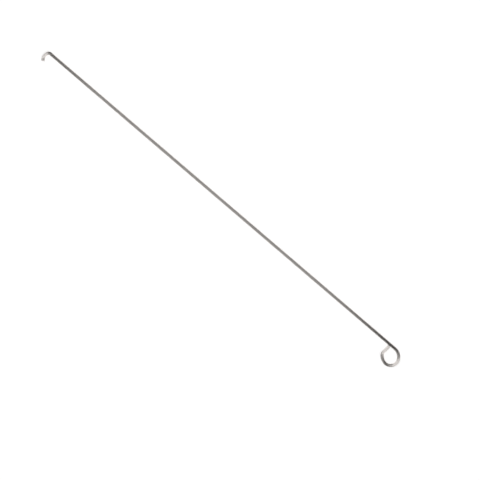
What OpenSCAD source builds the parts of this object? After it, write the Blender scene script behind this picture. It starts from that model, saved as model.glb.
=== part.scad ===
// Awning pull rod: one length of round steel bar, bent cold into a finger eye
// at one end and a small open hook at the other. It lies flat as it comes to
// rest, with the shank along X, the eye at +X, and both ends bent towards -Y.
// The origin is on the surface below, at the middle of the rod's length and
// width.

/* [Bar] */
// Diameter of the drawn round bar
bar_d = 7.94; // [5:0.01:9.5]
// Length over all, from the back of the hook to the far side of the eye
overall_l = 1066.8; // [400:0.1:2000]
// Chamfer that deburring leaves on the two sheared ends
end_chamfer = 0.8; // [0.2:0.1:1.2]

/* [Eye] */
// Centreline radius of the sweep that leads from the shank into the eye
lead_r = 25; // [22:0.1:32]
// Angle of that sweep
lead_turn = 62.7; // [52:0.1:70]
// Centreline radius of the main wrap, rolled round a mandrel
eye_r = 17.9; // [16:0.1:21]
// Centreline radius of the flatter stretch after the main wrap
ease_r = 25.2; // [22:0.1:30]
// Angle of that stretch
ease_turn = 40.5; // [36:0.1:48]
// Centreline radius of the last bend, which closes the eye
close_r = 12.3; // [11:0.1:15]
// Angle of that last bend
close_turn = 44.3; // [36:0.1:48]
// Angle from the shank's end, through all four bends, to the eye's tail
eye_wrap = 274.7; // [268:0.1:280]
// Gap between the tail's end and the side of the shank
tail_gap = 0.6; // [0.3:0.1:3]

/* [Hook] */
// Centreline radius of the tight bend beside the shank
elbow_r = 7.9; // [7:0.1:12]
// Angle of that bend
elbow_turn = 62.7; // [50:0.1:80]
// Centreline radius of the hook's curl
curl_r = 15.7; // [12:0.1:22]
// Angle from the shank's end, through both bends, to the hook's tip
hook_wrap = 125.4; // [110:0.1:140]
// Straight length that is left at the hook's tip
tip_l = 3.8; // [2:0.1:10]

/* [Hidden] */
$fn = 96;

bar_r = bar_d / 2;

// What is left of each wrap for the bend that has no angle of its own
eye_turn = eye_wrap - lead_turn - ease_turn - close_turn;
curl_turn = hook_wrap - elbow_turn;

// How far the eye's centreline runs beyond the shank's end, and to its side
eye_reach = lead_r * sin(lead_turn) + eye_r * (1 - sin(lead_turn));
eye_depth = lead_r * (1 - cos(lead_turn)) + eye_r * (1 + cos(lead_turn));

// How far the hook's centreline runs beyond the shank's other end
hook_reach = elbow_r * sin(elbow_turn) + curl_r * (1 - sin(elbow_turn));

shank_l = overall_l - bar_d - eye_reach - hook_reach;

// Sideways move along a bend of radius r, between two headings that are
// counted from the shank's axis
function shift(r, from, to) = r * (cos(from) - cos(to));

// Headings at which the eye's flatter stretch and its last bend begin
ease_from = lead_turn + eye_turn;
close_from = ease_from + ease_turn;

// Distance from the shank's axis to the last bend's end and to the tail's
// end, and the straight tail that is left between the two
close_depth = shift(lead_r, 0, lead_turn) + shift(eye_r, lead_turn, ease_from)
    + shift(ease_r, ease_from, close_from)
    + shift(close_r, close_from, eye_wrap);
tail_depth = bar_r + tail_gap + (bar_r - end_chamfer) * abs(cos(eye_wrap));
tail_l = (close_depth - tail_depth) / abs(sin(eye_wrap));

// A straight length of bar along +X. What follows it starts at its far end.
module straight(length) {
    rotate([0, 90, 0]) cylinder(d = bar_d, h = length);
    translate([length, 0, 0]) children();
}

// A bend of under half a turn towards -Y, which leaves the origin along +X.
// It is what a ring of bar has between the plane where the bar before it
// ends and the plane where the bar after it starts, so that their round
// faces meet exactly. What follows it starts there, along the new heading.
module bend(radius, turn) {
    side = 2 * (radius + bar_d);
    translate([0, -radius, 0]) {
        intersection() {
            rotate([0, 0, 180]) rotate_extrude()
                translate([radius, 0]) circle(d = bar_d);
            translate([0, -side / 2, -side / 2]) cube(side);
            rotate([0, 0, -turn])
                translate([-side, -side / 2, -side / 2]) cube(side);
        }
        rotate([0, 0, -turn]) translate([0, radius, 0]) children();
    }
}

// The last of the bar, sheared square and chamfered
module sheared_end() {
    rotate([0, 90, 0])
        cylinder(d1 = bar_d, d2 = bar_d - 2 * end_chamfer, h = end_chamfer);
}

module eye() {
    bend(lead_r, lead_turn)
        bend(eye_r, eye_turn)
        bend(ease_r, ease_turn)
        bend(close_r, close_turn)
        straight(tail_l - end_chamfer)
        sheared_end();
}

module hook() {
    bend(elbow_r, elbow_turn)
        bend(curl_r, curl_turn)
        straight(tip_l - end_chamfer)
        sheared_end();
}

module pull_rod() {
    color("silver")
        translate([bar_r + hook_reach - overall_l / 2, eye_depth / 2, bar_r]) {
            straight(shank_l) eye();
            mirror([1, 0, 0]) hook();
        }
}

pull_rod();
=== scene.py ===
# The looks of an awning pull rod: one bar of bright drawn steel, bent cold
# into a finger eye and a small hook, lying on a white studio floor.
import math

import bpy
import numpy as np
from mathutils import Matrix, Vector, noise


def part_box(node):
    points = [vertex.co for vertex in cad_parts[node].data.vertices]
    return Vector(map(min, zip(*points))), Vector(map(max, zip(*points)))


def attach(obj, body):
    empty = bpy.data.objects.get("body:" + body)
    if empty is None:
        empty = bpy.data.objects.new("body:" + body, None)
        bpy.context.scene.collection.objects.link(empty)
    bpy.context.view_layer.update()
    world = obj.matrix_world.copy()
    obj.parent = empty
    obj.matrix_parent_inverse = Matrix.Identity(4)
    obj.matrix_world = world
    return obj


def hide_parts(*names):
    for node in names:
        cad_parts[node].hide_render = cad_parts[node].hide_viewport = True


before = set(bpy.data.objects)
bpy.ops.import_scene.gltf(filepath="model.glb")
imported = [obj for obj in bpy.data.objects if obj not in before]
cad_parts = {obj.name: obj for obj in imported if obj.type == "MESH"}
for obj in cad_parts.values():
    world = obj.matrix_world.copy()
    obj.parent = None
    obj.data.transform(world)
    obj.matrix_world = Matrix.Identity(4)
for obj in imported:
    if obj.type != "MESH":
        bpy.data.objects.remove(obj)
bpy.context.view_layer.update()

MM = 0.001

# Sizes of the bar. The frame gives its thickness, its length and its place.
low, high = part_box("pull_rod")
BAR_R = (high.z - low.z) / 2
OVERALL = high.x - low.x
CHAMFER = 0.8 * MM
EDGE_ROUND = 0.12 * MM

# The bending schedule from the hook's tip to the eye's tail. Each bend is a
# centreline radius in metres and a turn to the right in degrees.
TIP = 3.8 * MM
CURL = (15.7 * MM, 62.7)
ELBOW = (7.9 * MM, 62.7)
LEAD = (25.0 * MM, 62.7)
EYE = (17.9 * MM, 127.2)
EASE = (25.2 * MM, 40.5)
CLOSE = (12.3 * MM, 44.3)
TAIL_GAP = 0.6 * MM

# The strain of a bend is the bar's radius over the bend's. It fades out along
# the bar over this reach, and the bar gets narrower by this share of it.
STRAIN_REACH = 2.5 * MM
FLATTENING = 0.10

# The sheared faces dip, more steeply at the rim, and are a little uneven. The
# grain is how many lumps a millimetre has, across the face and up it.
FACE_DIP = 0.06 * MM
FACE_SLOPE = 3
FACE_LUMPS = 0.05 * MM
FACE_GRAIN = (0.9, 2.4)
FACE_SEED = 7.0

# How finely the bar is drawn. BEND_STEP is in degrees.
AROUND = 64
ANGLES = [2 * math.pi * k / AROUND for k in range(AROUND)]
STRAIGHT_STEP = 4 * MM
END_STEP = 1 * MM
BEND_STEP = 1.25
EDGE_RINGS = 4
FACE_RINGS = 9


def straight(length, step=STRAIGHT_STEP):
    """A straight length as equal strokes of (length, turn to the right)."""
    count = round(length / step)
    return [(length / count, 0.0)] * count


def bend(radius, turn):
    """A bend as equal strokes of (length, turn to the right)."""
    count = round(turn / BEND_STEP)
    angle = math.radians(turn) / count
    return [(radius * angle, angle)] * count


def shift(radius, start, end):
    """Sideways move along a bend, between two headings from the shank's axis."""
    return radius * (math.cos(math.radians(start)) - math.cos(math.radians(end)))


def tail_length():
    """Length of the eye's tail, which ends just short of the shank's side."""
    heading, depth = 0.0, 0.0
    for radius, turn in (LEAD, EYE, EASE, CLOSE):
        depth += shift(radius, heading, heading + turn)
        heading += turn
    lean = math.radians(heading)
    end = BAR_R + TAIL_GAP + (BAR_R - CHAMFER) * abs(math.cos(lean))
    return (depth - end) / abs(math.sin(lean))


def shank_length():
    """Length of the straight shank, which is what the two ends leave."""
    lead, elbow = (math.sin(math.radians(turn)) for radius, turn in (LEAD, ELBOW))
    eye_reach = LEAD[0] * lead + EYE[0] * (1 - lead)
    hook_reach = ELBOW[0] * elbow + CURL[0] * (1 - elbow)
    return OVERALL - 2 * BAR_R - eye_reach - hook_reach


def ahead(heading):
    """The way that a heading points."""
    return np.array([math.cos(heading), math.sin(heading)])


def outward(heading):
    """The way to the left of a heading, which is the outside of every bend."""
    return np.array([-math.sin(heading), math.cos(heading)])


def centreline():
    """Stations along the bar: points, headings, distances and curvatures."""
    strokes = (
        straight(TIP, END_STEP) + bend(*CURL) + bend(*ELBOW)
        + straight(shank_length())
        + bend(*LEAD) + bend(*EYE) + bend(*EASE) + bend(*CLOSE)
        + straight(tail_length(), END_STEP)
    )
    point, heading = np.zeros(2), math.radians(CURL[1] + ELBOW[1])
    points, headings, along, curvatures = [point], [heading], [0.0], [strokes[0][1]]
    for length, turn in strokes:
        chord = length * (1 if turn == 0 else math.sin(turn / 2) / (turn / 2))
        point = point + chord * ahead(heading - turn / 2)
        heading -= turn
        points.append(point)
        headings.append(heading)
        along.append(along[-1] + length)
        curvatures.append(turn / length)
    points = np.array(points)
    # The middle of the length and the shank's side lie where the frame has them
    middle = (points[:, 0].min() + points[:, 0].max()) / 2
    anchor = np.array([middle, points[:, 1].max()])
    place = np.array([(low.x + high.x) / 2, high.y - BAR_R])
    points = points - anchor + place
    return points, np.array(headings), np.array(along), np.array(curvatures)


def smoothed(values, along, reach):
    """The values averaged over a bell of that reach along the bar."""
    weights = np.exp(-0.5 * ((along[:, None] - along[None]) / reach) ** 2)
    weights *= np.gradient(along)[None]
    return weights @ values / weights.sum(1)


def end_profile():
    """(setback, radius) of each ring of a chamfered end, the face's own rim last."""
    share = math.tan(math.radians(22.5)) * EDGE_ROUND
    corners = (
        (CHAMFER + share, BAR_R - EDGE_ROUND, 0.0),
        (EDGE_ROUND, BAR_R - CHAMFER - share, 45.0),
    )
    rings = []
    for setback, radius, turned in corners:
        for k in range(EDGE_RINGS):
            angle = math.radians(turned + 45 * k / (EDGE_RINGS - 1))
            rings.append((setback - EDGE_ROUND * math.sin(angle),
                          radius + EDGE_ROUND * math.cos(angle)))
    return rings


class Skin:
    """The bar's surface as it grows, ring by ring."""

    def __init__(self):
        self.points = []
        self.uvs = []
        self.strains = []
        self.faces = []

    def add(self, flat_place, height, uv, strain=0.0):
        self.points.append((flat_place[0], flat_place[1], low.z + BAR_R + height))
        self.uvs.append(uv)
        self.strains.append(strain)

    def join_rings(self, base, after, flipped=False):
        """Faces between the two rings that start at these points."""
        for k in range(AROUND):
            beside = (k + 1) % AROUND
            quad = (base + k, base + beside, after + beside, after + k)
            self.faces.append(quad[::-1] if flipped else quad)

    def close(self, base, centre, heading, way, seed):
        """Fills an end with a sheared face. way is 1 at the bar's end, -1 at its start."""
        out = ahead(heading) * way
        radius = BAR_R - CHAMFER - EDGE_ROUND
        for j in range(1, FACE_RINGS):
            share = 1 - j / FACE_RINGS
            after = len(self.points)
            for angle in ANGLES:
                across = math.cos(angle) * radius * share
                rise = math.sin(angle) * radius * share
                grain = Vector((across / MM * FACE_GRAIN[0], rise / MM * FACE_GRAIN[1], seed))
                push = FACE_LUMPS * noise.noise(grain) - FACE_DIP
                push *= min(1.0, FACE_SLOPE * (1 - share))
                place = centre + outward(heading) * across + out * push
                self.add(place, rise, (angle / (2 * math.pi), share * radius))
            self.join_rings(base, after, way < 0)
            base = after
        self.add(centre - out * FACE_DIP, 0.0, (0.0, 0.0))
        middle = len(self.points) - 1
        for k in range(AROUND):
            triangle = (base + k, base + (k + 1) % AROUND, middle)
            self.faces.append(triangle if way > 0 else triangle[::-1])


def bar_mesh():
    """The bent bar as one closed mesh, with its two sheared ends."""
    points, headings, along, curvatures = centreline()
    strain = smoothed(curvatures * BAR_R, along, STRAIN_REACH)
    last = len(points) - 1
    skin = Skin()

    def ring(k, step, radius):
        """A ring of the bar, a step ahead of station k."""
        centre = points[k] + ahead(headings[k]) * step
        width = radius * (1 - FLATTENING * strain[k])
        for angle in ANGLES:
            skin.add(centre + outward(headings[k]) * math.cos(angle) * width,
                     radius * math.sin(angle),
                     (angle / (2 * math.pi), along[k] + step),
                     strain[k] * (1 + math.cos(angle)) / 2)

    profile = end_profile()
    end_room = CHAMFER + 2 * EDGE_ROUND
    for setback, radius in reversed(profile):
        ring(0, setback, radius)
    for k in range(len(points)):
        if end_room < along[k] < along[last] - end_room:
            ring(k, 0.0, BAR_R)
    for setback, radius in profile:
        ring(last, -setback, radius)
    last_ring = len(skin.points) - AROUND
    for base in range(0, last_ring, AROUND):
        skin.join_rings(base, base + AROUND)
    side_faces = len(skin.faces)
    skin.close(last_ring, points[last], headings[last], 1, FACE_SEED * last)
    skin.close(0, points[0], headings[0], -1, 0.0)

    mesh = bpy.data.meshes.new("bent_bar")
    mesh.from_pydata(skin.points, [], skin.faces)
    layer = mesh.uv_layers.new(name="bar")
    for face in mesh.polygons:
        around = [skin.uvs[mesh.loops[c].vertex_index][0] for c in face.loop_indices]
        wraps = max(around) - min(around) > 0.5
        for c in face.loop_indices:
            u, v = skin.uvs[mesh.loops[c].vertex_index]
            layer.data[c].uv = (u + 1 if wraps and u < 0.5 else u, v)
        face.use_smooth = True
        face.material_index = 0 if face.index < side_faces else 1
    strain_layer = mesh.attributes.new("strain", "FLOAT", "POINT")
    strain_layer.data.foreach_set("value", skin.strains)
    mesh.validate()
    mesh.update()
    return mesh


class Nodes:
    """Short ways to add and join the nodes of one material."""

    def __init__(self, name):
        self.material = bpy.data.materials.new(name)
        self.material.use_nodes = True
        self.tree = self.material.node_tree
        self.shader = self.tree.nodes["Principled BSDF"]

    def add(self, kind, **values):
        node = self.tree.nodes.new(kind)
        for key, value in values.items():
            setattr(node, key, value)
        return node

    def join(self, source, target):
        self.tree.links.new(source, target)

    def feed(self, socket, value):
        """Joins a node's output to the socket, or writes a plain value there."""
        if isinstance(value, bpy.types.NodeSocket):
            self.join(value, socket)
        else:
            socket.default_value = value

    def math(self, operation, a, b=0.0):
        node = self.add("ShaderNodeMath", operation=operation)
        self.feed(node.inputs[0], a)
        self.feed(node.inputs[1], b)
        return node.outputs[0]

    def mixed(self, factor, a, b):
        """The colour between a and b."""
        node = self.add("ShaderNodeMix", data_type="RGBA")
        self.feed(node.inputs["Factor"], factor)
        self.feed(node.inputs["A"], a)
        self.feed(node.inputs["B"], b)
        return node.outputs["Result"]

    def noise(self, vector, scale, detail=2.0, roughness=0.5):
        node = self.add("ShaderNodeTexNoise")
        node.inputs["Scale"].default_value = scale
        node.inputs["Detail"].default_value = detail
        node.inputs["Roughness"].default_value = roughness
        self.join(vector, node.inputs["Vector"])
        return node.outputs["Fac"]

    def spread(self, value, from_range, to_range=(0.0, 1.0)):
        """The value as it moves from one range to the other, and no further."""
        node = self.add("ShaderNodeMapRange")
        node.inputs["From Min"].default_value = from_range[0]
        node.inputs["From Max"].default_value = from_range[1]
        node.inputs["To Min"].default_value = to_range[0]
        node.inputs["To Max"].default_value = to_range[1]
        self.join(value, node.inputs["Value"])
        return node.outputs["Result"]

    def bump(self, height, distance, normal=None):
        node = self.add("ShaderNodeBump")
        node.inputs["Strength"].default_value = 1.0
        node.inputs["Distance"].default_value = distance
        self.join(height, node.inputs["Height"])
        if normal is not None:
            self.join(normal, node.inputs["Normal"])
        return node.outputs["Normal"]

    def round_bar(self, stretch):
        """A place on the bar: two ways across it, and its distance along over stretch."""
        uv = self.add("ShaderNodeUVMap", uv_map="bar")
        parts = self.add("ShaderNodeSeparateXYZ")
        self.join(uv.outputs["UV"], parts.inputs[0])
        angle = self.math("MULTIPLY", parts.outputs["X"], 2 * math.pi)
        place = self.add("ShaderNodeCombineXYZ")
        self.join(self.math("COSINE", angle), place.inputs["X"])
        self.join(self.math("SINE", angle), place.inputs["Y"])
        self.join(self.math("DIVIDE", parts.outputs["Y"], stretch), place.inputs["Z"])
        return place.outputs[0]


# Most of a noise's values lie in this range
NOISE_RANGE = (0.3, 0.7)

# The drawn skin: its two tints, its roughness between the draw lines and in
# them, the height of the lines, and how far lines and patches run
DRAWN_TINTS = ((0.69, 0.657, 0.633, 1), (0.792, 0.755, 0.727, 1))
DRAWN_ROUGHNESS = (0.2, 0.34)
LINE_HEIGHT = 0.012 * MM
LINE_LENGTH = 50 * MM
PATCH_LENGTH = 20 * MM

# What bending does to the skin: it gets rougher with the strain and peels like
# an orange. Between these two strains it also turns to a dark tint, which is
# painted shade and not a colour of the steel
BEND_SHADE_STRAIN = (0.12, 0.4)
PAINTED_BEND_SHADE = (0.26, 0.242, 0.228, 1)
DULL_ROUGHNESS = 0.1
PEEL_HEIGHT = 0.02 * MM

# The sheared faces: their two tints, their roughness, the height of their
# grain, and its fineness, which is least upwards, the way that the blade went
SHEARED_TINTS = ((0.42, 0.40, 0.383, 1), (0.60, 0.574, 0.55, 1))
SHEARED_ROUGHNESS = (0.32, 0.5)
SHEARED_HEIGHT = 0.03 * MM
SHEARED_GRAIN = (900, 900, 180)


def bright_steel():
    """Bright drawn bar: satin, with draw lines, rougher round the outside of a bend, and with
    painted shade there as a dark tint.
    """
    nodes = Nodes("bright_steel")
    shader = nodes.shader
    lines = nodes.noise(nodes.round_bar(LINE_LENGTH), 16.0, detail=4.0, roughness=0.6)
    patches = nodes.noise(nodes.round_bar(PATCH_LENGTH), 1.3, detail=3.0)
    peel = nodes.noise(nodes.round_bar(BAR_R), 9.0)
    strain = nodes.add("ShaderNodeAttribute", attribute_name="strain").outputs["Fac"]
    patchy = nodes.mixed(nodes.spread(patches, NOISE_RANGE), *DRAWN_TINTS)
    # The random patches of tone, and painted shade as a dark tint round the outside of the
    # bends
    tint_and_bend_shade = nodes.mixed(nodes.spread(strain, BEND_SHADE_STRAIN), patchy, PAINTED_BEND_SHADE)
    nodes.join(tint_and_bend_shade, shader.inputs["Base Color"])
    polish = nodes.spread(lines, NOISE_RANGE, DRAWN_ROUGHNESS)
    dulled = nodes.math("ADD", polish, nodes.math("MULTIPLY", strain, DULL_ROUGHNESS))
    nodes.join(dulled, shader.inputs["Roughness"])
    around = nodes.add("ShaderNodeTangent", direction_type="UV_MAP", uv_map="bar")
    nodes.join(around.outputs["Tangent"], shader.inputs["Tangent"])
    shader.inputs["Anisotropic"].default_value = 1.0
    drawn = nodes.bump(lines, LINE_HEIGHT)
    peeled = nodes.bump(nodes.math("MULTIPLY", peel, strain), PEEL_HEIGHT, normal=drawn)
    nodes.join(peeled, shader.inputs["Normal"])
    shader.inputs["Metallic"].default_value = 1.0
    return nodes.material


def sheared_steel():
    """The cut ends: duller and coarser, with the lines that the shear left."""
    nodes = Nodes("sheared_steel")
    shader = nodes.shader
    stretch = nodes.add("ShaderNodeMapping")
    stretch.inputs["Scale"].default_value = SHEARED_GRAIN
    place = nodes.add("ShaderNodeTexCoord").outputs["Object"]
    nodes.join(place, stretch.inputs["Vector"])
    grain = nodes.noise(stretch.outputs["Vector"], 3.0, detail=4.0, roughness=0.6)
    nodes.join(nodes.mixed(grain, *SHEARED_TINTS), shader.inputs["Base Color"])
    polish = nodes.spread(grain, NOISE_RANGE, SHEARED_ROUGHNESS)
    nodes.join(polish, shader.inputs["Roughness"])
    nodes.join(nodes.bump(grain, SHEARED_HEIGHT), shader.inputs["Normal"])
    shader.inputs["Metallic"].default_value = 1.0
    return nodes.material


def make_bar():
    bar = bpy.data.objects.new("bent_bar", bar_mesh())
    bpy.context.scene.collection.objects.link(bar)
    bar.data.materials.append(bright_steel())
    bar.data.materials.append(sheared_steel())
    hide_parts("pull_rod")
    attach(bar, "root")


# The studio's floor, whose rim curves up into a low wall
FLOOR_R = 14.0
FLOOR_RINGS = (0.6, 2.0, 6.0)
FLOOR_SIDES = 96
WALL_H = 2.2
WALL_CURVE = 1.5
WALL_STEPS = 12
FLOOR_COLOUR = (0.86, 0.86, 0.86, 1)

# Glow that lifts the floor to plain white, near the rod and far out, where
# the lamps are weaker, and how far from the rod each of the two is reached
GLOW = (0.6, 1.0)
GLOW_REACH = (0.9, 2.5)


def studio_floor():
    """A round white floor that turns up into a low wall at its rim."""
    profile = [(radius, 0.0) for radius in FLOOR_RINGS]
    for k in range(WALL_STEPS + 1):
        angle = math.radians(90 * k / WALL_STEPS)
        profile.append((FLOOR_R - WALL_CURVE + WALL_CURVE * math.sin(angle),
                        WALL_CURVE * (1 - math.cos(angle))))
    profile.append((FLOOR_R, WALL_H))
    points = [(0.0, 0.0, low.z)]
    for radius, height in profile:
        for k in range(FLOOR_SIDES):
            angle = 2 * math.pi * k / FLOOR_SIDES
            points.append((radius * math.cos(angle), radius * math.sin(angle), low.z + height))
    faces = [(0, 1 + k, 1 + (k + 1) % FLOOR_SIDES) for k in range(FLOOR_SIDES)]
    for i in range(len(profile) - 1):
        inner = 1 + i * FLOOR_SIDES
        outer = inner + FLOOR_SIDES
        for k in range(FLOOR_SIDES):
            beside = (k + 1) % FLOOR_SIDES
            faces.append((inner + k, outer + k, outer + beside, inner + beside))
    mesh = bpy.data.meshes.new("studio_floor")
    mesh.from_pydata(points, [], faces)
    for face in mesh.polygons:
        face.use_smooth = True
    floor = bpy.data.objects.new("studio_floor", mesh)
    bpy.context.scene.collection.objects.link(floor)
    floor.data.materials.append(white_floor())


def white_floor():
    """White paper that is lifted to plain white where it is seen, in metal and
    glass too, and that keeps its shadows."""
    nodes = Nodes("white_floor")
    paper = nodes.add("ShaderNodeBsdfDiffuse")
    paper.inputs["Color"].default_value = FLOOR_COLOUR
    ray = nodes.add("ShaderNodeLightPath").outputs
    mirrored = nodes.math("MAXIMUM", ray["Is Glossy Ray"], ray["Is Transmission Ray"])
    seen = nodes.math("MAXIMUM", ray["Is Camera Ray"], mirrored)
    distance = nodes.add("ShaderNodeVectorMath", operation="LENGTH")
    place = nodes.add("ShaderNodeTexCoord").outputs["Object"]
    nodes.join(place, distance.inputs[0])
    lift = nodes.spread(distance.outputs["Value"], GLOW_REACH, GLOW)
    glow = nodes.add("ShaderNodeEmission")
    nodes.join(nodes.math("MULTIPLY", seen, lift), glow.inputs["Strength"])
    both = nodes.add("ShaderNodeAddShader")
    nodes.join(paper.outputs[0], both.inputs[0])
    nodes.join(glow.outputs[0], both.inputs[1])
    nodes.join(both.outputs[0], nodes.tree.nodes["Material Output"].inputs["Surface"])
    return nodes.material


# Two big softboxes face each other along the rod, a little off its line, and
# a dim strip hangs across its middle
LIGHT_TURN = math.radians(-4.5)
LIGHT_REACH = 7.6
LIGHT_RISE = 7.8
LIGHT_SIZE = (9.5, 14.5)
LIGHT_LEVEL = 1.08
STRIP_X = -0.08
STRIP_RISE = 2.2
STRIP_SIZE = (1.25, 9.0)
STRIP_LEVEL = 0.36
ROOM = (0.02, 0.019, 0.019, 1)


def softbox(name, place, aim, size, radiance):
    """A soft lamp of an even brightness, turned to its aim. The camera doesn't see it."""
    lamp = bpy.data.lights.new(name, "AREA")
    lamp.shape = "RECTANGLE"
    lamp.size, lamp.size_y = size
    lamp.energy = radiance * math.pi * size[0] * size[1]
    holder = bpy.data.objects.new(name, lamp)
    bpy.context.scene.collection.objects.link(holder)
    holder.location = place
    holder.rotation_mode = "QUATERNION"
    holder.rotation_quaternion = (Vector(aim) - Vector(place)).to_track_quat("-Z", "Y")
    holder.visible_camera = False


def lights():
    """The two softboxes, the dim strip, and the dim room around them."""
    for name, side in (("softbox_eye", 1), ("softbox_hook", -1)):
        reach = side * LIGHT_REACH
        place = (reach * math.cos(LIGHT_TURN), reach * math.sin(LIGHT_TURN), LIGHT_RISE)
        softbox(name, place, (0, 0, 0), LIGHT_SIZE, LIGHT_LEVEL)
    above, below = (STRIP_X, 0, STRIP_RISE), (STRIP_X, 0, 0)
    softbox("strip_over_middle", above, below, STRIP_SIZE, STRIP_LEVEL)
    world = bpy.data.worlds.new("dim_room")
    bpy.context.scene.world = world
    world.use_nodes = True
    world.node_tree.nodes["Background"].inputs["Color"].default_value = ROOM


# The camera looks straight down at AIM, turned so that the rod runs from the
# upper left to the lower right of the picture. The picture's width is what it
# takes in at the rod. The lens and the sensor are in millimetres.
AIM = (0.0788, -0.0215)
PICTURE_WIDTH = 1.0877
ROD_SLOPE = math.radians(40.557)
LENS = 200.0
SENSOR = 36.0
FARTHEST_SEEN = 100.0


def camera():
    data = bpy.data.cameras.new("camera")
    data.lens = LENS
    data.sensor_width = SENSOR
    data.clip_end = FARTHEST_SEEN
    holder = bpy.data.objects.new("camera", data)
    bpy.context.scene.collection.objects.link(holder)
    height = PICTURE_WIDTH * LENS / SENSOR
    holder.location = (AIM[0], AIM[1], low.z + BAR_R + height)
    holder.rotation_euler = (0, 0, ROD_SLOPE)
    bpy.context.scene.camera = holder


make_bar()
studio_floor()
lights()
camera()
bpy.context.scene.view_settings.view_transform = "Standard"
